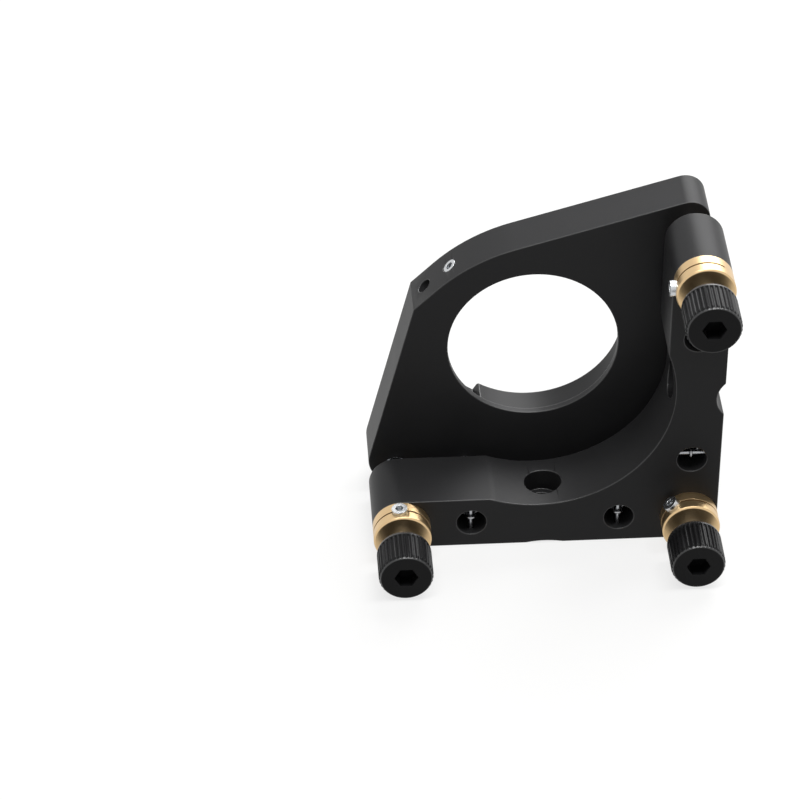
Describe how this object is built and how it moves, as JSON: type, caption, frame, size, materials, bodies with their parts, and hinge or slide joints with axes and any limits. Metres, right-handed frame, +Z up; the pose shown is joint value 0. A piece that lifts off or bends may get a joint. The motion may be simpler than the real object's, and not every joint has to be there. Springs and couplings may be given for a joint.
{
  "type": "kinematic mirror mount",
  "caption": "Adjustable mount for a round mirror: an L-shaped frame with fine knurled adjusters in brass bushings tilts a spring-held mirror plate.",
  "frame": {"origin": "centre of the mirror seat, on the front face of the retaining lip", "axes": "+Y along the optical axis toward the open side of the bore, +X right and +Z up as seen from behind the adjusters"},
  "size_m": [0.0936, 0.0596, 0.0936],
  "materials": {
    "anodised_body": "matte black anodised",
    "knob_black": "satin black anodised",
    "brass": "satin turned",
    "screw_steel": "ground, slightly dark",
    "spring_steel": "drawn wire",
    "bright_steel": "bright",
    "nylon": "natural nylon"
  },
  "bodies": {
    "frame": {"back_frame": "anodised_body", "bushing_a": "brass", "bushing_b": "brass", "bushing_c": "brass", "frame_pin_side_upper": "screw_steel", "frame_pin_side_lower": "screw_steel", "frame_pin_base_left": "screw_steel", "frame_pin_base_right": "screw_steel"},
    "tip_a": {"ball_a": "bright_steel"},
    "adjuster_a": {"adjuster_screw_a": "screw_steel", "knob_a": "knob_black"},
    "lock_a": {"lock_screw_a": "bright_steel"},
    "tip_b": {"ball_b": "bright_steel"},
    "adjuster_b": {"adjuster_screw_b": "screw_steel", "knob_b": "knob_black"},
    "lock_b": {"lock_screw_b": "bright_steel"},
    "tip_c": {"ball_c": "bright_steel"},
    "adjuster_c": {"adjuster_screw_c": "screw_steel", "knob_c": "knob_black"},
    "lock_c": {"lock_screw_c": "bright_steel"},
    "side_springs": {"spring_side_upper": "spring_steel", "spring_side_lower": "spring_steel"},
    "base_springs": {"spring_base_left": "spring_steel", "spring_base_right": "spring_steel"},
    "plate": {"front_plate": "anodised_body", "groove_seat_a": "bright_steel", "flat_seat_b": "bright_steel", "cone_seat_c": "bright_steel", "plate_pin_side_upper": "screw_steel", "plate_pin_side_lower": "screw_steel", "plate_pin_base_left": "screw_steel", "plate_pin_base_right": "screw_steel"},
    "optic_tip_flush": {"optic_tip_flush": "nylon"},
    "optic_screw_flush": {"optic_screw_flush": "bright_steel"},
    "optic_tip_deep": {"optic_tip_deep": "nylon"},
    "optic_screw_deep": {"optic_screw_deep": "bright_steel"}
  },
  "joints": [
    {"name": "travel_a", "type": "slide", "parent": "frame", "child": "tip_a", "axis": [0, 1, 0], "range_m": [-0.0034, 0.0034]},
    {"name": "turn_a", "type": "hinge", "parent": "tip_a", "child": "adjuster_a", "pos_m": [0.0411, -0.00319, 0.0369], "axis": [0, 1, 0], "range_deg": [-4899, 4899]},
    {"name": "travel_b", "type": "slide", "parent": "frame", "child": "tip_b", "axis": [0, 1, 0], "range_m": [-0.0034, 0.0034]},
    {"name": "turn_b", "type": "hinge", "parent": "tip_b", "child": "adjuster_b", "pos_m": [-0.0369, -0.00319, -0.0411], "axis": [0, 1, 0], "range_deg": [-4899, 4899]},
    {"name": "travel_c", "type": "slide", "parent": "frame", "child": "tip_c", "axis": [0, 1, 0], "range_m": [-0.0034, 0.0034]},
    {"name": "turn_c", "type": "hinge", "parent": "tip_c", "child": "adjuster_c", "pos_m": [0.0411, -0.00319, -0.0411], "axis": [0, 1, 0], "range_deg": [-4899, 4899]},
    {"name": "pitch", "type": "hinge", "parent": "frame", "child": "side_springs", "pos_m": [0.0411, -0.00319, -0.0411], "axis": [-1, 0, 0], "range_deg": [-2.52, 2.52], "deforming": ["spring_side_upper", "spring_side_lower"]},
    {"name": "yaw", "type": "hinge", "parent": "side_springs", "child": "base_springs", "pos_m": [0.0411, -0.00319, -0.0411], "axis": [0, 0, -1], "range_deg": [-2.52, 2.52], "deforming": ["spring_base_left", "spring_base_right"]},
    {"name": "lift_c", "type": "hinge", "parent": "base_springs", "child": "plate", "pos_m": [0.0411, -0.00319, 0.0369], "axis": [0.7071, 0, 0.7071], "range_deg": [-3.56, 3.56]},
    {"name": "lock_turn_a", "type": "hinge", "parent": "frame", "child": "lock_a", "pos_m": [0.0351, -0.02965, 0.0369], "axis": [1, 0, 0], "range_deg": [-180, 20]},
    {"name": "lock_turn_b", "type": "hinge", "parent": "frame", "child": "lock_b", "pos_m": [-0.03742, -0.02965, -0.03512], "axis": [0.0872, 0, -0.9962], "range_deg": [-180, 20]},
    {"name": "lock_turn_c", "type": "hinge", "parent": "frame", "child": "lock_c", "pos_m": [0.03724, -0.02965, -0.0365], "axis": [0.6428, 0, -0.766], "range_deg": [-180, 20]},
    {"name": "optic_travel_flush", "type": "slide", "parent": "plate", "child": "optic_tip_flush", "axis": [0.7071, 0, -0.7071], "range_m": [-0.0005, 0.0015]},
    {"name": "optic_turn_flush", "type": "hinge", "parent": "optic_tip_flush", "child": "optic_screw_flush", "pos_m": [-0.01973, 0.0045, 0.01973], "axis": [0.7071, 0, -0.7071], "range_deg": [-258, 772]},
    {"name": "optic_travel_deep", "type": "slide", "parent": "plate", "child": "optic_tip_deep", "axis": [0.7071, 0, -0.7071], "range_m": [-0.0005, 0.0015]},
    {"name": "optic_turn_deep", "type": "hinge", "parent": "optic_tip_deep", "child": "optic_screw_deep", "pos_m": [-0.02623, 0.0045, 0.01322], "axis": [0.7071, 0, -0.7071], "range_deg": [-258, 772]}
  ],
  "couplings": [
    {"joint": "turn_a", "follows": "travel_a", "rad_per_m": 25133},
    {"joint": "turn_b", "follows": "travel_b", "rad_per_m": 25133},
    {"joint": "turn_c", "follows": "travel_c", "rad_per_m": 25133},
    {"joint": "pitch", "follows": "travel_a", "rad_per_m": 12.821},
    {"joint": "yaw", "follows": "travel_b", "rad_per_m": 12.821},
    {"joint": "lift_c", "follows": "travel_c", "rad_per_m": 18.131},
    {"joint": "optic_turn_flush", "follows": "optic_travel_flush", "rad_per_m": 8976},
    {"joint": "optic_turn_deep", "follows": "optic_travel_deep", "rad_per_m": 8976}
  ]
}
